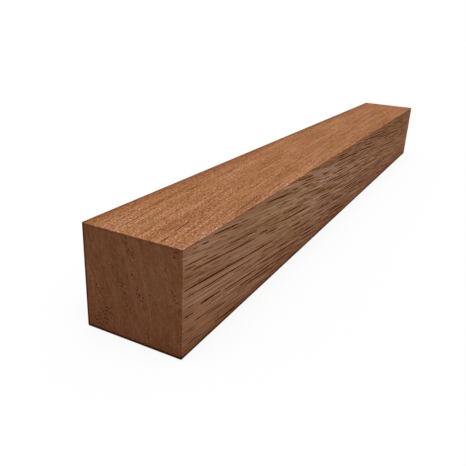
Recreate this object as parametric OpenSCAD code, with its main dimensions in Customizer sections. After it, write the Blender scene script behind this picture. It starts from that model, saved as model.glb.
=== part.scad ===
// Wood turning blank: one square length of hardwood, sawn on all four sides and cross-cut at both ends.
// Origin at the centre of the underside, +X along the length, +Z up. Millimetres.

/* [Stock] */
// Length between the two sawn ends, along the axis that it is turned about
blank_length = 457.2; // [150:0.1:900]
// Width of the section, side to side
section_width = 50.8; // [25:0.1:100]
// Height of the section, underside to top
section_height = 50.8; // [25:0.1:100]

/* [Eased edges] */
// Radius of the four long edges
long_edge_radius = 0.8; // [0.3:0.1:6]
// Radius of the edges round each sawn end
end_edge_radius = 0.8; // [0.3:0.1:6]

/* [Hidden] */
wood_colour = [0.52, 0.36, 0.26];
edge_facets = 48;
// Each outline is extruded past the solid, so that only its own edges cut it.
overrun = 10;

// A rectangle centred on the origin whose four corners are true arcs.
module eased_rectangle(size_x, size_y, radius) {
    square([size_x, size_y - 2 * radius], center = true);
    square([size_x - 2 * radius, size_y], center = true);
    for (side_x = [-1, 1], side_y = [-1, 1])
        translate([side_x * (size_x / 2 - radius), side_y * (size_y / 2 - radius)])
            circle(r = radius, $fn = edge_facets);
}

// The section, run along the length: it eases the four long edges.
module section_along_length() {
    rotate([90, 0, 90])
        linear_extrude(height = blank_length + 2 * overrun, center = true)
            eased_rectangle(section_width, section_height, long_edge_radius);
}

// The outline seen from the side: it eases the top and bottom edges of both ends.
module side_outline() {
    rotate([90, 0, 0])
        linear_extrude(height = section_width + 2 * overrun, center = true)
            eased_rectangle(blank_length, section_height, end_edge_radius);
}

// The outline seen from above: it eases the upright edges of both ends.
module plan_outline() {
    linear_extrude(height = section_height + 2 * overrun, center = true)
        eased_rectangle(blank_length, section_width, end_edge_radius);
}

// The whole blank is one piece of wood: what the three outlines have in common, set on the floor.
module blank() {
    color(wood_colour)
        translate([0, 0, section_height / 2])
            intersection() {
                section_along_length();
                side_outline();
                plan_outline();
            }
}

blank();
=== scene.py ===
"""Wood turning blank: a square length of open-pored, red-brown hardwood, sawn on four sides and both ends.

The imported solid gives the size. One mesh stands for it: the same block with its eased edges, and with the
wood's vessels cut into the six faces as real grooves and pits. The grooves and the colour follow the same
grain, which is the level lines of two fields.
Lengths are in millimetres until a mesh, lamp or camera is made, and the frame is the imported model's.
"""

import math

import bpy
import numpy as np
from mathutils import Matrix, Vector
from mathutils.geometry import delaunay_2d_cdt


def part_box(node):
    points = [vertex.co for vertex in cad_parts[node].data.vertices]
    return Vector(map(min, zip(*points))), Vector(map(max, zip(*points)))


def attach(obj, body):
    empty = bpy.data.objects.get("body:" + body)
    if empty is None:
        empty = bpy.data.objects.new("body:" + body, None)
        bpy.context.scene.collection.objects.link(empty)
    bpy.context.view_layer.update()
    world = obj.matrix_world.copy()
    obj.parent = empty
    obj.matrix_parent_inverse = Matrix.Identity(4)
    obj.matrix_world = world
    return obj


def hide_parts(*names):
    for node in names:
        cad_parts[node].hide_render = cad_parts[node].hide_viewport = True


MM = 0.001

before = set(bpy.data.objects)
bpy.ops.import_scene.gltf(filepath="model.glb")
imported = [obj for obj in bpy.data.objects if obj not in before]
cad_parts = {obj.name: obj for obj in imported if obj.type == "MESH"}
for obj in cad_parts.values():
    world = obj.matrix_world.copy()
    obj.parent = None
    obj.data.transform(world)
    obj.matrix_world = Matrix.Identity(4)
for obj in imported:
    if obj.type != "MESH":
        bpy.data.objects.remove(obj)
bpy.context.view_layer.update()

# The block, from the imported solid.
LOW, HIGH = (np.array(corner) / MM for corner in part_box("blank"))
EDGE_RADIUS = 0.8
EDGE_STEPS = 5

# The grain. Each field has its slope along the blank, the bend of it, and its waves: height, run along x,
# run across, phase. Vessels run where field z keeps its value on the sides, and field y on top and underside.
FIELDS = {
    "y": {"slope": -0.040, "bend": 0.00007, "waves": ((0.5, 70.0, 30.0, 0.6), (0.10, 17.0, 9.0, 2.1))},
    "z": {"slope": 0.083, "bend": -0.000045, "waves": ((0.5, 60.0, 34.0, 1.3), (0.09, 19.0, 11.0, 0.4))},
}
# Where the middle of the tree was, in the plane across the grain.
PITH = (150.0, -24.0)

# What the wood looks like, as linear colours: top and underside, both sides, both ends.
TOP_GROUND = (0.357, 0.146, 0.060)
SIDE_GROUND = (0.402, 0.192, 0.100)
END_GROUND = (0.2135, 0.0815, 0.0345)
# Darker wood is also warmer: how strongly a change of tone acts on red, green and blue.
TONE_POWERS = (1.0, 1.45, 2.15)
# How much darker the wood gets with each millimetre towards the far end.
TONE_FALL = -0.00036
# What the slow drifts of hue multiply the ground by.
OLIVE_SHIFT = (0.985, 1.030, 0.90)
ROSE_SHIFT = (1.010, 0.988, 1.03)
# The sides are warmer towards the far end and along their upper edge.
WARM_SHIFT = (1.0, 0.935, 0.87)
# Inside a cut mark the wood is a deeper brown.
CUT_SHIFT = (1.0, 0.80, 0.40)

# Pores that the photograph shows: how far from the near end, how far from the face's upper edge (on the top,
# from its left edge), how long, and half their width.
SEEN_PORES = {
    "right": (
        (1, 7.9, 19, 0.33), (1, 9.6, 9, 0.26), (6, 11.9, 60, 0.42), (37, 11.4, 31, 0.37),
        (1, 18.8, 89, 0.55), (1, 22.3, 67, 0.42), (14, 30.6, 19, 0.64), (1, 31.3, 8, 0.40),
        (34, 33.5, 36, 0.46), (72, 35.7, 60, 0.50), (51, 38.3, 66, 0.52), (92, 39.6, 20, 0.34),
        (57, 40.9, 45, 0.40), (66, 32.4, 16, 0.38), (10, 36.6, 24, 0.33), (20, 38.8, 18, 0.35),
        (14, 3.0, 6, 0.44), (23, 1.9, 24, 0.42), (40, 5.2, 11, 0.31), (76, 3.0, 36, 0.46),
        (70, 17.8, 11, 0.37), (78, 20.4, 17, 0.40), (97, 19.8, 51, 0.51), (100, 16.1, 33, 0.48),
        (120, 12.4, 42, 0.35), (112, 5.5, 9, 0.46), (132, 5.0, 16, 0.42), (163, 8.2, 12, 0.44),
        (118, 29.0, 13, 0.40), (119, 32.0, 32, 0.46), (152, 33.4, 26, 0.42), (134, 41.0, 30, 0.48),
        (166, 42.4, 26, 0.46), (189, 19.0, 45, 0.48), (221, 12.2, 20, 0.44), (210, 32.4, 48, 0.40),
        (188, 40.6, 34, 0.64), (228, 38.6, 30, 0.46), (27, 46.5, 22, 0.62), (96, 34.6, 18, 0.35),
        (90, 30.2, 14, 0.28), (64, 46.4, 15, 0.44), (4, 45.0, 12, 0.29), (1, 13.4, 14, 0.24),
        (22, 15.6, 9, 0.24), (44, 28.6, 12, 0.24), (54, 31.8, 11, 0.29), (4, 27.6, 5, 0.29),
        (62, 36.0, 9, 0.26), (32, 40.6, 12, 0.29),
    ),
    "top": (
        (2, 17.4, 31, 0.30), (9, 11.4, 17, 0.26), (13, 38.2, 14, 0.32), (1, 39.6, 7, 0.34),
        (60, 13.4, 14, 0.30), (3, 28.6, 9, 0.24), (33, 24.9, 4, 0.30), (96, 13.6, 20, 0.34),
        (46, 48.3, 34, 0.26), (84, 47.6, 30, 0.26),
    ),
}
# Clusters of pores that the near end shows: how far from its left edge, from its upper edge, and how big.
SEEN_CLUSTERS = (
    (23.5, 3.5, 3), (25.0, 7.5, 4), (27.3, 10.6, 3), (15.6, 17.0, 3), (19.3, 16.6, 3),
    (21.0, 24.5, 7), (21.8, 28.6, 5), (29.2, 25.5, 5), (30.6, 28.0, 4), (31.8, 31.2, 3),
    (24.6, 33.6, 5), (8.4, 30.4, 7), (9.8, 33.4, 6), (35.0, 24.2, 2), (26.3, 18.8, 4),
    (12.9, 39.4, 7), (10.6, 42.4, 6), (7.4, 46.0, 9), (34.6, 43.6, 4), (42.8, 10.6, 2),
    (47.5, 22.5, 4), (49.0, 26.5, 4), (4.3, 26.0, 3), (3.6, 35.0, 3), (30.6, 1.8, 3),
    (47.8, 3.6, 3),
)

# Grooves: how long their pointed ends are, how far a station strays, how blunt they are towards the ends, how
# much they swell and thin, how deep they are for their half width, and how far they keep from one another.
GROOVE_POINT = 0.9
GROOVE_STRAY = 0.05
GROOVE_BLUNTNESS = 0.18
GROOVE_SWELL = (0.75, 1.15)
GROOVE_DEPTH = 0.9
GROOVE_MARGIN = 0.12
# Grooves that the photograph shows keep less far from one another, and this far from the face's near edge.
SEEN_MARGIN = 0.10
SEEN_START = 0.3
# Pits on the ends: how deep and how long for their half width, and how far they keep from one another. A pit
# darkens the wood, and a flat fleck of the same outline lightens it.
PIT_DEPTH = 0.8
PIT_STRETCH = (1.2, 3.0)
PIT_MARGIN = 0.03
PIT_SHADE = 1.0
FLECK_SHADE = -1.0
# Clusters of pits: how many pits for each step of size, half their width, and how far they are spread.
CLUSTER_PITS = 10
CLUSTER_HALF_WIDTH = (0.22, 0.40)
CLUSTER_SPREAD = (0.26, 0.11)

# The vessels that are strewn along the grain, in the order in which they are cut: the face, its field, how
# many grain lines, how long a dash and a gap are, half the width, how dark, and the span of the face from its
# near end. On the right the coarse ones leave out the first 108 mm, where the listed pores take their place.
WHOLE = (0, None)
STREWN_VESSELS = (
    ("right", "z", 130, (12, 60), (4, 100), (0.32, 0.54), (0.9, 1.0), (108, 200)),
    ("right", "z", 130, (20, 100), (6, 130), (0.30, 0.56), (0.9, 1.0), (200, 325)),
    ("right", "z", 170, (20, 90), (6, 90), (0.24, 0.42), (0.9, 1.0), (325, None)),
    ("left", "z", 140, (10, 60), (6, 120), (0.24, 0.46), (0.85, 1.0), WHOLE),
    ("right", "z", 200, (4, 22), (10, 90), (0.13, 0.24), (0.6, 1.0), WHOLE),
    ("left", "z", 200, (4, 22), (10, 90), (0.13, 0.24), (0.6, 1.0), WHOLE),
    ("top", "y", 50, (4, 14), (10, 160), (0.16, 0.26), (0.4, 0.9), WHOLE),
    ("top", "y", 240, (1.2, 4.5), (5, 70), (0.13, 0.24), (0.4, 0.9), WHOLE),
    ("underside", "y", 50, (4, 14), (10, 160), (0.16, 0.26), (0.4, 0.9), WHOLE),
    ("underside", "y", 240, (1.2, 4.5), (5, 70), (0.13, 0.24), (0.4, 0.9), WHOLE),
)
# What is strewn over an end: clusters where none are listed, and single pits or pairs of them.
END_CLUSTERS = 26
END_SINGLES = 220
SINGLE_HALF_WIDTH = (0.10, 0.17)
SINGLE_SPREAD = 0.7

# How far apart the mesh's points are along the edges, and how near two points are taken for one.
EDGE_PITCH = 6.0
POINTS_PER_MM = 1e5
JOIN_DISTANCE = 1e-4
# What the triangulation is asked for: the triangles inside the rim.
INSIDE_ONLY = 1

# The photograph's view: place, heading from +X towards +Y, dip, roll and focal length for a 36 mm sensor.
CAMERA_PLACE = (-382.7, -124.5, 133.2)
CAMERA_HEADING = 26.90
CAMERA_DIP = 22.25
CAMERA_ROLL = 2.99
CAMERA_LENS = 40.71

SEED = 41


def grain(axis, x, across):
    """The field's value at x and at the place across the blank."""
    field = FIELDS[axis]
    value = across + (field["slope"] + field["bend"] * x) * x
    for height, run_x, run_across, phase in field["waves"]:
        value = value + height * np.sin(x / run_x + across / run_across + phase)
    return value


def grain_line(axis, level, x):
    """Where the field has that level at x."""
    across = level - (FIELDS[axis]["slope"] + FIELDS[axis]["bend"] * x) * x
    for _ in range(6):
        across = across + level - grain(axis, x, across)
    return across


class Flat:
    """One flat face of the block, with its own two axes, and what is cut into it."""

    # The grid that says which room is taken.
    cell_s, cell_t = 0.25, 0.1

    def __init__(self, name, along, across, normal):
        self.name = name
        self.along, self.across, self.normal = (np.array(v, float) for v in (along, across, normal))
        centre, half = (LOW + HIGH) / 2, (HIGH - LOW) / 2
        self.centre = centre + self.normal * abs(self.normal @ half)
        self.half_s = abs(self.along @ half) - EDGE_RADIUS
        self.half_t = abs(self.across @ half) - EDGE_RADIUS
        self.middle_s = self.along @ centre
        self.middle_t = self.across @ centre
        self.points, self.depths, self.shades, self.edges = [], [], [], []
        shape = (int(2 * self.half_s / self.cell_s) + 2, int(2 * self.half_t / self.cell_t) + 2)
        self.taken = np.zeros(shape, bool)

    def place(self, s, t, depth=0.0):
        return self.centre + self.along * s + self.across * t - self.normal * depth

    def claim(self, stations, margin):
        """Takes the room that a groove's stations (s, t, half width) need, or says that it isn't free."""
        spans = []
        for (s0, t0, w0), (s1, t1, w1) in zip(stations, stations[1:]):
            steps = max(int((s1 - s0) / self.cell_s) + 1, 1)
            for k in range(steps + 1):
                share = k / steps
                s, t = s0 + (s1 - s0) * share, t0 + (t1 - t0) * share
                reach = max(w0, w1) + margin
                if abs(s) + margin > self.half_s or abs(t) + reach > self.half_t:
                    return False
                row = int((s + self.half_s) / self.cell_s)
                low = int((t - reach + self.half_t) / self.cell_t)
                high = int((t + reach + self.half_t) / self.cell_t) + 1
                if self.taken[row, low:high].any():
                    return False
                spans.append((row, low, high))
        for row, low, high in spans:
            self.taken[row, low:high] = True
        return True

    def add_points(self, points, depth=0.0, shade=0.0):
        first = len(self.points)
        self.points += points
        self.depths += [depth] * len(points)
        self.shades += [shade] * len(points)
        return list(range(first, len(self.points)))

    def cut_groove(self, stations, depth, shade):
        """Cuts a V-shaped groove along the stations. It starts and ends in a point."""
        inner = stations[1:-1]
        ends = self.add_points([stations[0][:2], stations[-1][:2]])
        left = self.add_points([(s, t + w) for s, t, w in inner])
        right = self.add_points([(s, t - w) for s, t, w in inner])
        keel = self.add_points([(s, t) for s, t, w in inner], depth, shade)
        ring = [ends[0], *left, ends[1], *reversed(right)]
        self.edges += list(zip(ring, ring[1:] + ring[:1]))
        spine = [ends[0], *keel, ends[1]]
        self.edges += list(zip(spine, spine[1:]))

    def cut_pit(self, s, t, axis, length, width, depth, shade, sides=6):
        """Cuts a small oval pit that narrows to a point, from its long axis and half its length and width."""
        ring = []
        for k in range(sides):
            turn = 2 * math.pi * k / sides
            out, side = length * math.cos(turn), width * math.sin(turn)
            ring.append((s + axis[0] * out - axis[1] * side, t + axis[1] * out + axis[0] * side))
        ring = self.add_points(ring)
        self.edges += list(zip(ring, ring[1:] + ring[:1]))
        self.add_points([(s, t)], depth, shade)


FACES = {
    "right": Flat("right", (1, 0, 0), (0, 0, 1), (0, -1, 0)),
    "left": Flat("left", (1, 0, 0), (0, 0, 1), (0, 1, 0)),
    "top": Flat("top", (1, 0, 0), (0, 1, 0), (0, 0, 1)),
    "underside": Flat("underside", (1, 0, 0), (0, 1, 0), (0, 0, -1)),
    "near_end": Flat("near_end", (0, 1, 0), (0, 0, 1), (-1, 0, 0)),
    "far_end": Flat("far_end", (0, 1, 0), (0, 0, 1), (1, 0, 0)),
}


def groove_stations(face, axis, level, start, length, half_width, rng):
    """Stations along a grain line: nearly full width close to the ends, swelling and thinning on the way."""
    count = 2 + int(length > 4) + int(length / 8)
    blunt = min(GROOVE_POINT / length, 0.2)
    marks = np.concatenate([[0.0], np.linspace(blunt, 1 - blunt, count), [1.0]])
    s = start + length * marks
    t = grain_line(axis, level, s + face.middle_s) - face.middle_t
    t[1:-1] += rng.normal(0, GROOVE_STRAY, count)
    fullness = np.sin(np.pi * marks[1:-1]) ** GROOVE_BLUNTNESS
    swell = np.zeros(count + 2)
    swell[1:-1] = half_width * fullness * rng.uniform(*GROOVE_SWELL, count)
    return [tuple(v) for v in np.stack([s, t, swell], 1)]


def cut_seen_pores(face, axis, rng):
    """Cuts the pores that the photograph shows on a face, each along the grain from where it starts."""
    for from_end, from_edge, length, half_width in SEEN_PORES[face.name]:
        s, t = from_end - face.half_s - EDGE_RADIUS, face.half_t + EDGE_RADIUS - from_edge
        s = max(s, SEEN_START - face.half_s)
        level = grain(axis, s + face.middle_s, t + face.middle_t)
        stations = groove_stations(face, axis, level, s, length, half_width, rng)
        if face.claim(stations, SEEN_MARGIN):
            face.cut_groove(stations, GROOVE_DEPTH * half_width, rng.uniform(0.85, 1.0))


def cut_vessels(face, axis, rng, lines, dash, gap, half_width, shade, span):
    """Follows grain lines along a span of a long face, and cuts the vessels that show there as dashes."""
    corners = [
        grain(axis, s + face.middle_s, t + face.middle_t)
        for s in (-face.half_s, face.half_s)
        for t in (-face.half_t, face.half_t)
    ]
    first = span[0] - face.half_s
    last = span[1] - face.half_s if span[1] else face.half_s
    for level in rng.uniform(min(corners), max(corners), lines):
        s = first + rng.uniform(0, gap[1])
        while s < last:
            length = rng.uniform(*dash)
            wide = rng.uniform(*half_width)
            stations = groove_stations(face, axis, level, s, length, wide, rng)
            if face.claim(stations, GROOVE_MARGIN):
                face.cut_groove(stations, GROOVE_DEPTH * wide, rng.uniform(*shade))
            s += length + rng.uniform(*gap)


def cut_cluster(face, rng, s, t, count, half_width, spread):
    """Cuts a cluster of pits on an end face, along the growth rings. Every third is a flat pale fleck."""
    towards = np.array([PITH[0] - s - face.middle_s, PITH[1] - t - face.middle_t])
    towards /= np.linalg.norm(towards)
    around = np.array([-towards[1], towards[0]])
    for turn in range(count):
        half = rng.uniform(*half_width)
        long = half * rng.uniform(*PIT_STRETCH)
        axis = around + towards * rng.uniform(-0.8, 0.8)
        axis /= np.linalg.norm(axis)
        spot = np.array([s, t]) + towards * rng.normal(0, 0.8 * spread) + around * rng.normal(0, 1.3 * spread)
        wide, high = (max(half, long * abs(share)) for share in axis)
        if face.claim([(spot[0] - wide, spot[1], high), (spot[0] + wide, spot[1], high)], PIT_MARGIN):
            if turn % 3 < 2:
                face.cut_pit(*spot, axis, long, half, PIT_DEPTH * half, PIT_SHADE)
            else:
                face.cut_pit(*spot, axis, long, half, 0.0, FLECK_SHADE)


def cut_end_pores(face, rng):
    """Cuts the vessels that an end face shows, in clusters and scattered."""
    s_half, t_half = face.half_s, face.half_t
    if face.name == "near_end":
        corner_s, corner_t = s_half + EDGE_RADIUS, t_half + EDGE_RADIUS
        places = [(corner_s - across, corner_t - down, size) for across, down, size in SEEN_CLUSTERS]
    else:
        places = [
            (rng.uniform(-s_half, s_half), rng.uniform(-t_half, t_half), rng.integers(2, 8))
            for _ in range(END_CLUSTERS)
        ]
    for s, t, size in places:
        spread = CLUSTER_SPREAD[0] + CLUSTER_SPREAD[1] * size
        cut_cluster(face, rng, s, t, CLUSTER_PITS * size, CLUSTER_HALF_WIDTH, spread)
    for _ in range(END_SINGLES):
        s, t = rng.uniform(-s_half, s_half), rng.uniform(-t_half, t_half)
        cut_cluster(face, rng, s, t, rng.integers(1, 3), SINGLE_HALF_WIDTH, SINGLE_SPREAD)


class Shell:
    """The mesh as it grows: vertices found again by their place, and faces with a normal at each corner."""

    def __init__(self):
        self.found, self.places, self.pore = {}, [], []
        self.faces, self.normals, self.uv = [], [], []

    def vertex(self, place, pore=0.0):
        key = tuple(np.round(place * POINTS_PER_MM).astype(np.int64))
        if key not in self.found:
            self.found[key] = len(self.places)
            self.places.append(place)
            self.pore.append(pore)
        return self.found[key]

    def face(self, corners, normals, uv):
        """Adds a face, turned so that it faces the way its normals point."""
        a, b, c = (self.places[k] for k in corners[:3])
        if np.cross(b - a, c - a) @ sum(normals) < 0:
            corners, normals, uv = corners[::-1], normals[::-1], uv[::-1]
        self.faces.append(corners)
        self.normals += normals
        self.uv += uv


# The bake's map: four long strips and a row with the two ends, each with its eased edges and a small gap.
MAP_ROWS = {"right": 0, "left": 1, "top": 2, "underside": 3}
MAP_END_ROW = 4
MAP_ROW_HEIGHT = 1 / 5
MAP_GAP = 0.004


def map_place(face, s, t):
    """Where a point of a face lies on the map, with half of each eased edge laid flat beside the face."""
    wrap = EDGE_RADIUS * math.pi / 4
    u = (s + face.half_s + wrap) / (2 * (face.half_s + wrap))
    v = (t + face.half_t + wrap) / (2 * (face.half_t + wrap))
    if face.name in MAP_ROWS:
        row, left, wide = MAP_ROWS[face.name], 0.0, 1.0
    else:
        row, left, wide = MAP_END_ROW, 0.5 * (face.name == "far_end"), 0.5
    return (
        left + MAP_GAP + u * (wide - 2 * MAP_GAP),
        row * MAP_ROW_HEIGHT + MAP_GAP + v * (MAP_ROW_HEIGHT - 2 * MAP_GAP),
    )


def edge_marks(half):
    """The places along a flat's edge at which it meets the eased edge beside it."""
    count = max(int(round(2 * half / EDGE_PITCH)), 1)
    return np.linspace(-half, half, count + 1)


def fill_flat(shell, face):
    """Triangulates a flat face round everything that is cut into it."""
    marks_s, marks_t = edge_marks(face.half_s), edge_marks(face.half_t)
    rim = [(s, -face.half_t) for s in marks_s[:-1]]
    rim += [(face.half_s, t) for t in marks_t[:-1]]
    rim += [(s, face.half_t) for s in marks_s[:0:-1]]
    rim += [(-face.half_s, t) for t in marks_t[:0:-1]]
    first = len(face.points)
    points = face.points + rim
    depths = face.depths + [0.0] * len(rim)
    shades = face.shades + [0.0] * len(rim)
    around = list(range(first, len(points)))
    edges = face.edges + list(zip(around, around[1:] + around[:1]))
    placed, _, triangles, origins, _, _ = delaunay_2d_cdt(
        [Vector(p) for p in points], edges, [around], INSIDE_ONLY, JOIN_DISTANCE
    )
    flat = []
    for spot, origin in zip(placed, origins):
        if origin:
            (s, t), depth, shade = points[origin[0]], depths[origin[0]], shades[origin[0]]
        else:
            (s, t), depth, shade = spot, 0.0, 0.0
        flat.append((s, t, depth, shade))
    corners = [shell.vertex(face.place(s, t, depth), shade) for s, t, depth, shade in flat]
    for triangle in triangles:
        a, b, c = (face.place(*flat[k][:3]) for k in triangle)
        normal = face.normal
        if any(flat[k][2] > 0 for k in triangle):
            normal = np.cross(b - a, c - a)
            normal = normal / np.linalg.norm(normal) * np.sign(normal @ face.normal)
        places = [map_place(face, *flat[k][:2]) for k in triangle]
        shell.face([corners[k] for k in triangle], [normal] * 3, places)


def edge_point(face_a, face_b, run, position, turn):
    """A point and its normal on the eased edge between two faces, turned from face a (0) to face b (1)."""
    angle = turn * math.pi / 2
    normal = face_a.normal * math.cos(angle) + face_b.normal * math.sin(angle)
    half = (HIGH - LOW) / 2 - EDGE_RADIUS
    centre = (LOW + HIGH) / 2 + (face_a.normal + face_b.normal) * half + run * position
    return centre + normal * EDGE_RADIUS, normal


def spread_from(face, place, normal):
    """A point of an eased edge, laid flat in the plane of the face that it belongs to."""
    middle = place - normal * EDGE_RADIUS
    lean = normal - face.normal * (normal @ face.normal)
    size = np.linalg.norm(lean)
    angle = math.atan2(size, normal @ face.normal)
    if size > 1e-9:
        middle = middle + lean / size * angle * EDGE_RADIUS
    return (middle - face.centre) @ face.along, (middle - face.centre) @ face.across


def ease_edge(shell, face_a, face_b):
    """Fills the eased edge between two faces with quads. Each half is mapped with the face beside it."""
    run = np.abs(np.cross(face_a.normal, face_b.normal))
    half = run @ ((HIGH - LOW) / 2) - EDGE_RADIUS
    marks = edge_marks(half)
    turns = np.linspace(0, 1, 2 * EDGE_STEPS + 1)
    for p, q in zip(marks, marks[1:]):
        for k, (a, b) in enumerate(zip(turns, turns[1:])):
            owner = face_a if k < EDGE_STEPS else face_b
            corners = [(p, a), (p, b), (q, b), (q, a)]
            made = [edge_point(face_a, face_b, run, position, turn) for position, turn in corners]
            shell.face(
                [shell.vertex(place) for place, _ in made],
                [normal for _, normal in made],
                [map_place(owner, *spread_from(owner, *spot)) for spot in made],
            )


def ease_corner(shell, face_x, face_y, face_z):
    """Fills the rounded corner where three eased edges meet, in three patches, one for each face."""
    half = (HIGH - LOW) / 2 - EDGE_RADIUS
    normals = [face_x.normal, face_y.normal, face_z.normal]
    centre = (LOW + HIGH) / 2 + sum(normals) * half
    steps = np.tan(np.linspace(0, 1, EDGE_STEPS + 1) * math.pi / 4)
    for k, owner in enumerate((face_x, face_y, face_z)):
        out, one, two = normals[k], normals[(k + 1) % 3], normals[(k + 2) % 3]
        for a, b in zip(steps, steps[1:]):
            for c, d in zip(steps, steps[1:]):
                made = []
                for first, second in ((a, c), (b, c), (b, d), (a, d)):
                    normal = out + one * first + two * second
                    normal = normal / np.linalg.norm(normal)
                    made.append((centre + normal * EDGE_RADIUS, normal))
                shell.face(
                    [shell.vertex(place) for place, _ in made],
                    [normal for _, normal in made],
                    [map_place(owner, *spread_from(owner, *spot)) for spot in made],
                )


def cut_all_faces():
    rng = np.random.default_rng(SEED)
    cut_seen_pores(FACES["right"], "z", rng)
    cut_seen_pores(FACES["top"], "y", rng)
    for name, axis, *how in STREWN_VESSELS:
        cut_vessels(FACES[name], axis, rng, *how)
    for name in ("near_end", "far_end"):
        cut_end_pores(FACES[name], rng)


def build_blank():
    """The whole block as one closed mesh."""
    cut_all_faces()
    shell = Shell()
    for face in FACES.values():
        fill_flat(shell, face)
    sides = [FACES[name] for name in ("right", "top", "left", "underside")]
    ends = [FACES[name] for name in ("near_end", "far_end")]
    for one, two in zip(sides, sides[1:] + sides[:1]):
        ease_edge(shell, one, two)
        for end in ends:
            flat_y, flat_z = (one, two) if abs(one.normal[1]) > 0.5 else (two, one)
            ease_corner(shell, end, flat_y, flat_z)
    for side in sides:
        for end in ends:
            ease_edge(shell, side, end)
    mesh = bpy.data.meshes.new("turning_blank")
    mesh.from_pydata([tuple(p * MM) for p in shell.places], [], shell.faces)
    layer = mesh.uv_layers.new(name="OFBake")
    layer.data.foreach_set("uv", np.array(shell.uv, np.float32).ravel())
    pore = mesh.attributes.new("pore", "FLOAT", "POINT")
    pore.data.foreach_set("value", np.array(shell.pore, np.float32))
    mesh.polygons.foreach_set("use_smooth", np.ones(len(mesh.polygons), bool))
    mesh.update()
    mesh.normals_split_custom_set([tuple(n) for n in shell.normals])
    blank = bpy.data.objects.new("turning_blank", mesh)
    bpy.context.scene.collection.objects.link(blank)
    return blank


class Graph:
    """Short names for making shader nodes. Each call returns the socket that comes out."""

    def __init__(self, material):
        material.use_nodes = True
        self.tree = material.node_tree
        self.tree.nodes.clear()

    def node(self, kind, inputs=(), **settings):
        made = self.tree.nodes.new(kind)
        for key, value in settings.items():
            setattr(made, key, value)
        for key, value in dict(inputs).items():
            if isinstance(value, bpy.types.NodeSocket):
                self.tree.links.new(value, made.inputs[key])
            else:
                made.inputs[key].default_value = value
        return made

    def math(self, operation, *values):
        return self.node("ShaderNodeMath", enumerate(values), operation=operation).outputs[0]

    def product(self, first, *others):
        for other in others:
            first = self.math("MULTIPLY", first, other)
        return first

    def noise(self, vector, detail, roughness):
        inputs = {"Vector": vector, "Scale": 1.0, "Detail": detail, "Roughness": roughness, "Distortion": 0.0}
        return self.node("ShaderNodeTexNoise", inputs).outputs["Fac"]

    def ramp(self, value, low, high, start=0.0, end=1.0, smooth=True):
        inputs = {"Value": value, "From Min": low, "From Max": high, "To Min": start, "To Max": end}
        kind = "SMOOTHSTEP" if smooth else "LINEAR"
        return self.node("ShaderNodeMapRange", inputs, interpolation_type=kind).outputs[0]

    def mix(self, share, one, two, blend="MIX"):
        made = self.node("ShaderNodeMix", data_type="RGBA", blend_type=blend)
        for socket, value in zip((made.inputs[0], made.inputs[6], made.inputs[7]), (share, one, two)):
            if isinstance(value, bpy.types.NodeSocket):
                self.tree.links.new(value, socket)
            elif isinstance(value, tuple):
                socket.default_value = (*value, 1.0)
            else:
                socket.default_value = value
        return made.outputs[2]

    def stretch(self, parts, scales):
        """A vector from three values, each over its own length in millimetres."""
        values = [self.math("DIVIDE", part, scale) for part, scale in zip(parts, scales)]
        return self.node("ShaderNodeCombineXYZ", enumerate(values)).outputs[0]


def grain_in_nodes(graph, axis, x, across):
    """The same field as grain() gives, as nodes."""
    field = FIELDS[axis]
    slope = graph.math("MULTIPLY_ADD", x, field["bend"], field["slope"])
    value = graph.math("MULTIPLY_ADD", slope, x, across)
    for height, run_x, run_across, phase in field["waves"]:
        angle = graph.math("ADD", graph.math("DIVIDE", x, run_x), graph.math("DIVIDE", across, run_across))
        wave = graph.math("SINE", graph.math("ADD", angle, phase))
        value = graph.math("ADD", value, graph.math("MULTIPLY", wave, height))
    return value


# The noises in the wood, from broad to fine: what each is laid on, over how many millimetres it changes, its
# detail and its roughness.
NOISES = {
    "blotch": ("grain", (90, 22, 22), 2.0, 0.5),
    "drift": ("grain", (80, 12, 12), 2.0, 0.5),
    "ribbon": ("grain", (140, 6, 6), 1.0, 0.5),
    "growth": ("rings", (6.0, 400, 6.0), 2.0, 0.6),
    "streak": ("sides", (110, 1.1, 1.1), 2.0, 0.6),
    "fibre": ("sides", (24, 0.42, 0.42), 2.0, 0.6),
    "band": ("top", (70, 1.6, 3.0), 2.0, 0.6),
    "comb": ("top", (34, 0.75, 2.0), 2.0, 0.6),
    "speck": ("block", (1.2, 0.65, 0.65), 2.0, 0.6),
    "stroke": ("ends", (0.8, 3.2, 400), 2.0, 0.6),
}
# Fine vessels that are too many to cut: how far apart they are along the grain and across it.
SMALL_PORES = (30, 1.5, 1.5)

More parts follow.
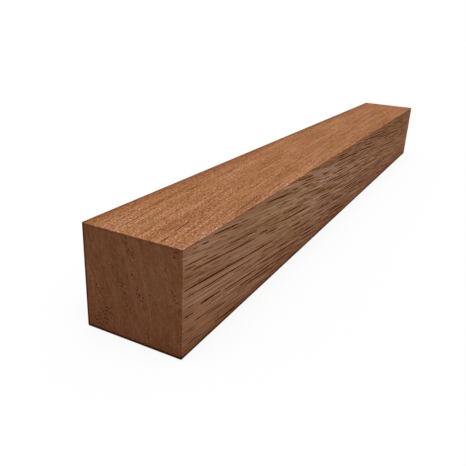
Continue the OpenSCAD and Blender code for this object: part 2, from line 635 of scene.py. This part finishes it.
# The layers of tone: the noise or the part of the block that each follows, the part that it is kept to, and
# how strong it is on a top, a side and an end. A noise acts on both sides of its middle value.
LAYERS = (
    ("blotch", None, 0.25, 0.30, 0.30),
    ("ribbon", None, 0.45, 0.35, 0.20),
    ("ribbon", "far_off", 0.0, -0.20, 0.0),
    ("growth", None, 0.30, 0.25, 0.60),
    ("streak", None, 0.0, 0.85, 0.10),
    ("streak", "far_off", 0.0, -0.55, 0.0),
    ("fibre", None, 0.25, 1.30, 0.50),
    ("fibre", "midway", 0.0, 1.40, 0.0),
    ("band", None, 0.75, 0.0, 0.0),
    ("comb", None, 0.85, 0.0, 0.0),
    ("comb", "beyond", -0.30, 0.0, 0.0),
    ("speck", None, 2.60, 0.45, 0.50),
    ("speck", "beyond", -0.90, 0.0, 0.0),
    ("stroke", None, 0.0, 0.0, 0.70),
    ("small_pore", None, -0.15, -0.50, -0.22),
    ("cut", None, -0.30, -1.42, -1.25),
    ("fleck", None, 0.0, 0.0, 0.46),
    # Painted shade along the floor: a contact shadow on the bottom rims, deepening towards the floor.
    ("low_rim", None, 0.0, -1.60, -1.40),
    ("low_band", None, 0.0, -0.30, -0.14),
    ("low_shade", None, 0.0, -0.24, -0.12),
    # Painted shade on the left eased edges, which turn away from the light.
    ("left_rim", None, -0.22, 0.0, -1.20),
    ("left_band", None, -0.30, 0.0, 0.0),
    ("left_shade", None, -0.14, 0.0, 0.0),
    ("near_shade", None, 0.03, -0.13, 0.0),
    ("upper_shade", None, 0.0, -0.11, 0.0),
    # Painted shade along the far eased edges, which turn away from the light.
    ("far_rim", None, -0.65, -1.00, 0.0),
    ("far_off", None, 0.06, 0.0, 0.0),
    ("far_shade", None, 0.0, -0.09, 0.0),
    ("olive", None, 0.0, 0.07, 0.0),
    # A painted highlight on the upward eased edges.
    ("rubbed", None, 0.10, 0.0, 0.48),
    ("under_rim", None, 0.0, -0.20, -0.18),
)


def wood_noises(g, x, y, z):
    """The noises of the wood, and its small pores. Broad ones follow the grain through the block. Fine ones
    follow it along one pair of faces alone, so that they are as long as the photograph shows them."""
    gy, gz = grain_in_nodes(g, "y", x, y), grain_in_nodes(g, "z", x, z)
    from_pith = [g.math("SUBTRACT", value, middle) for value, middle in zip((gy, gz), PITH)]
    squares = [g.math("POWER", distance, 2.0) for distance in from_pith]
    ring = g.math("SQRT", g.math("ADD", *squares))
    laid_on = {
        "block": (x, y, z),
        "grain": (x, gy, gz),
        "sides": (x, y, gz),
        "top": (x, gy, z),
        "rings": (ring, x, ring),
        "ends": (ring, gz, x),
    }
    noises = {}
    for name, (where, lengths, detail, roughness) in NOISES.items():
        noises[name] = g.noise(g.stretch(laid_on[where], lengths), detail, roughness)
    cells = g.node(
        "ShaderNodeTexVoronoi",
        {"Vector": g.stretch(laid_on["grain"], SMALL_PORES), "Scale": 1.0, "Randomness": 1.0},
        voronoi_dimensions="3D",
        feature="F1",
    )
    return noises, g.ramp(cells.outputs["Distance"], 0.10, 0.24, 1.0, 0.0)


def wood_parts(g, x, y, z, upward, topness):
    """The parts of the block that differ from the rest, each as a share. Only upper_shade goes below 0."""
    marks = g.node("ShaderNodeAttribute", attribute_name="pore").outputs["Fac"]
    cut = g.ramp(marks, 0.0, 0.35)
    beyond = g.ramp(x, -190.0, -60.0)
    far_off = g.ramp(x, 40.0, 200.0)
    return {
        # What is cut into the faces.
        "cut": cut,
        "fleck": g.ramp(marks, -0.6, 0.0, 1.0, 0.0),
        # Painted shade: a contact shadow along the floor, more shade low down, and dark eased edges at the
        # left and the far end, which turn away from the light. The top darkens towards its left edge; at the
        # near end the sides are darker and the top paler.
        "low_rim": g.product(g.ramp(z, 0.9, 2.0, 1.0, 0.0), g.math("SUBTRACT", 1.0, topness)),
        "low_band": g.ramp(z, 0.5, 6.0, 1.0, 0.0),
        "low_shade": g.ramp(z, 0.0, 22.0, 1.0, 0.0),
        "left_rim": g.ramp(y, 23.7, 24.7),
        "left_band": g.ramp(y, 20.5, 25.2),
        "left_shade": g.ramp(y, 12.0, 25.0),
        "near_shade": g.ramp(x, -228.0, -214.0, 1.0, 0.0),
        "far_rim": g.ramp(x, 225.6, 227.6),
        # High on the sides: paler at the near end, darker from the middle on, and an olive patch between.
        "upper_shade": g.product(g.ramp(z, 38.0, 49.0), g.ramp(x, -228.0, -40.0, -0.8, 1.0)),
        "olive": g.product(
            g.ramp(x, -190.0, -150.0),
            g.ramp(x, -90.0, -50.0, 1.0, 0.0),
            g.ramp(z, 32.0, 38.0),
            g.ramp(z, 42.0, 48.0, 1.0, 0.0),
        ),
        # Fine marks are weaker beyond the near end of the top, and strongest in the middle of the sides.
        "beyond": beyond,
        "midway": g.product(beyond, g.ramp(x, 20.0, 170.0, 1.0, 0.15)),
        # Far off the sides have weaker streaks and are darker above, and the top is a little paler.
        "far_off": far_off,
        "far_shade": g.product(far_off, g.ramp(z, 18.0, 32.0)),
        # A painted highlight on the upward eased edges, strongest on the ends, where they catch the light.
        # Right below the upper edges the wood is darker.
        "rubbed": g.product(
            g.ramp(upward, 0.45, 0.75),
            g.ramp(upward, 0.90, 0.99, 1.0, 0.0),
            g.math("SUBTRACT", 1.0, cut),
        ),
        "under_rim": g.product(g.ramp(z, 49.2, 49.8), g.ramp(upward, 0.35, 0.60, 1.0, 0.0)),
    }


def wood_tone(g, x, noises, parts, facing):
    """All layers of tone together, as what they multiply red, green and blue by."""
    topness, sideness, endness = facing
    tone = g.math("MULTIPLY", x, TONE_FALL)
    for name, kept_to, on_top, on_side, on_end in LAYERS:
        layer = g.math("SUBTRACT", noises[name], 0.5) if name in noises else parts[name]
        if kept_to:
            layer = g.math("MULTIPLY", layer, parts[kept_to])
        amount = g.math("MULTIPLY", topness, on_top)
        amount = g.math("MULTIPLY_ADD", sideness, on_side, amount)
        amount = g.math("MULTIPLY_ADD", endness, on_end, amount)
        tone = g.math("MULTIPLY_ADD", layer, amount, tone)
    red, green, blue = (g.math("EXPONENT", g.math("MULTIPLY", tone, power)) for power in TONE_POWERS)
    return g.node("ShaderNodeCombineColor", {"Red": red, "Green": green, "Blue": blue}).outputs[0]


def wood_ground(g, x, z, noises, parts, facing):
    """The ground colour of each pair of faces, with what changes its hue."""
    topness, sideness, endness = facing
    colour = g.mix(sideness, TOP_GROUND, SIDE_GROUND)
    colour = g.mix(endness, colour, END_GROUND)
    drift = g.math("MULTIPLY_ADD", parts["olive"], 0.45, noises["drift"])
    # The painted shade low down also turns the hue rosier.
    drift = g.math("MULTIPLY_ADD", parts["low_shade"], -0.35, drift)
    colour = g.mix(1.0, colour, g.mix(g.ramp(drift, 0.30, 0.80), ROSE_SHIFT, OLIVE_SHIFT), "MULTIPLY")
    warm = g.product(g.ramp(z, 43.0, 50.0), g.ramp(x, -180.0, -90.0))
    warm = g.math("MAXIMUM", warm, g.ramp(x, -60.0, 160.0, 0.0, 0.75))
    colour = g.mix(g.product(warm, sideness), colour, g.mix(1.0, colour, WARM_SHIFT, "MULTIPLY"))
    marked = g.product(parts["cut"], g.math("SUBTRACT", 1.0, topness))
    return g.mix(marked, colour, g.mix(1.0, colour, CUT_SHIFT, "MULTIPLY"))


def make_wood():
    material = bpy.data.materials.new("hardwood")
    g = Graph(material)
    coordinates = g.node("ShaderNodeTexCoord")
    place = g.node("ShaderNodeSeparateXYZ", {"Vector": coordinates.outputs["Object"]})
    x, y, z = (g.math("MULTIPLY", place.outputs[k], 1 / MM) for k in range(3))
    normal = g.node("ShaderNodeSeparateXYZ", {"Vector": coordinates.outputs["Normal"]}).outputs
    # How much of a top or underside, of a side, and of an end the surface is here.
    facing = [g.ramp(g.math("ABSOLUTE", normal[k]), 0.35, 0.85) for k in (2, 1, 0)]
    noises, small_pore = wood_noises(g, x, y, z)
    parts = wood_parts(g, x, y, z, normal[2], facing[0])
    parts["small_pore"] = small_pore
    ground = wood_ground(g, x, z, noises, parts, facing)
    tone = wood_tone(g, x, noises, parts, facing)
    colour = g.mix(1.0, ground, tone, "MULTIPLY")

    rough = g.math("MULTIPLY_ADD", noises["streak"], 0.10, 0.72)
    height = g.math("ADD", noises["fibre"], noises["speck"])
    height = g.math("SUBTRACT", height, g.math("MULTIPLY", small_pore, 0.6))
    bump = g.node("ShaderNodeBump", {"Height": height, "Strength": 0.30, "Distance": 0.00012})
    surface = g.node(
        "ShaderNodeBsdfPrincipled",
        {"Base Color": colour, "Roughness": rough, "Normal": bump.outputs[0], "Specular IOR Level": 0.06},
    )
    g.node("ShaderNodeOutputMaterial", {"Surface": surface.outputs[0]})
    return material


# Light: a broad lamp from above and an even sky. The floor and the sky look white to the camera.
SUN_STRENGTH = 1.9
SUN_DIRECTION = (-0.16, -0.10, 1.0)
SUN_SPREAD = 50.0
SKY_LIGHT = 0.42
FLOOR_BOUNCE = 0.45
FLOOR_SIZE = 12.0
FLOOR_SHADOW = 0.16


def seen_directly(graph):
    """1 for rays from the camera, and for what gloss or glass shows."""
    path = graph.node("ShaderNodeLightPath")
    seen = graph.math("MAXIMUM", path.outputs["Is Camera Ray"], path.outputs["Is Glossy Ray"])
    return graph.math("MAXIMUM", seen, path.outputs["Is Transmission Ray"])


def make_floor():
    """A white floor that keeps a pale shadow of the object."""
    material = bpy.data.materials.new("floor")
    g = Graph(material)
    lit = g.node("ShaderNodeBsdfDiffuse", {"Color": (1.0, 1.0, 1.0, 1.0)})
    white = g.node("ShaderNodeEmission", {"Color": (1.0, 1.0, 1.0, 1.0), "Strength": 1.0})
    shown = g.node("ShaderNodeMixShader", {0: FLOOR_SHADOW, 1: white.outputs[0], 2: lit.outputs[0]})
    bounce = g.node("ShaderNodeBsdfDiffuse", {"Color": (FLOOR_BOUNCE, FLOOR_BOUNCE, FLOOR_BOUNCE, 1.0)})
    both = g.node("ShaderNodeMixShader", {0: seen_directly(g), 1: bounce.outputs[0], 2: shown.outputs[0]})
    g.node("ShaderNodeOutputMaterial", {"Surface": both.outputs[0]})
    half = FLOOR_SIZE / 2
    corners = [(x * half, y * half, -0.0001) for x, y in ((-1, -1), (1, -1), (1, 1), (-1, 1))]
    mesh = bpy.data.meshes.new("floor")
    mesh.from_pydata(corners, [], [(0, 1, 2, 3)])
    mesh.materials.append(material)
    floor = bpy.data.objects.new("floor", mesh)
    bpy.context.scene.collection.objects.link(floor)


def make_light():
    sun = bpy.data.lights.new("overhead", "SUN")
    sun.energy = SUN_STRENGTH
    sun.angle = math.radians(SUN_SPREAD)
    lamp = bpy.data.objects.new("overhead", sun)
    lamp.rotation_mode = "QUATERNION"
    lamp.rotation_quaternion = Vector(SUN_DIRECTION).to_track_quat("Z", "Y")
    bpy.context.scene.collection.objects.link(lamp)
    world = bpy.data.worlds.new("sky")
    bpy.context.scene.world = world
    g = Graph(world)
    strength = g.ramp(seen_directly(g), 0.0, 1.0, SKY_LIGHT, 1.0, smooth=False)
    sky = g.node("ShaderNodeBackground", {"Color": (1.0, 1.0, 1.0, 1.0), "Strength": strength})
    g.node("ShaderNodeOutputWorld", {"Surface": sky.outputs[0]})


def make_camera():
    heading, dip, roll = (math.radians(a) for a in (CAMERA_HEADING, CAMERA_DIP, CAMERA_ROLL))
    forward = Vector((math.cos(dip) * math.cos(heading), math.cos(dip) * math.sin(heading), -math.sin(dip)))
    level = forward.cross(Vector((0, 0, 1))).normalized()
    right = level * math.cos(roll) + level.cross(forward) * math.sin(roll)
    up = right.cross(forward)
    camera = bpy.data.cameras.new("camera")
    camera.lens = CAMERA_LENS
    camera.sensor_width = 36.0
    camera.clip_start = 0.01
    camera.clip_end = 50.0
    holder = bpy.data.objects.new("camera", camera)
    axes = Matrix((right, up, -forward)).transposed().to_4x4()
    holder.matrix_world = Matrix.Translation(Vector(CAMERA_PLACE) * MM) @ axes
    bpy.context.scene.collection.objects.link(holder)
    bpy.context.scene.camera = holder


make_camera()
make_light()
make_floor()
blank = build_blank()
blank.data.materials.append(make_wood())
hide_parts("blank")
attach(blank, "root")
bpy.context.scene.view_settings.view_transform = "Standard"
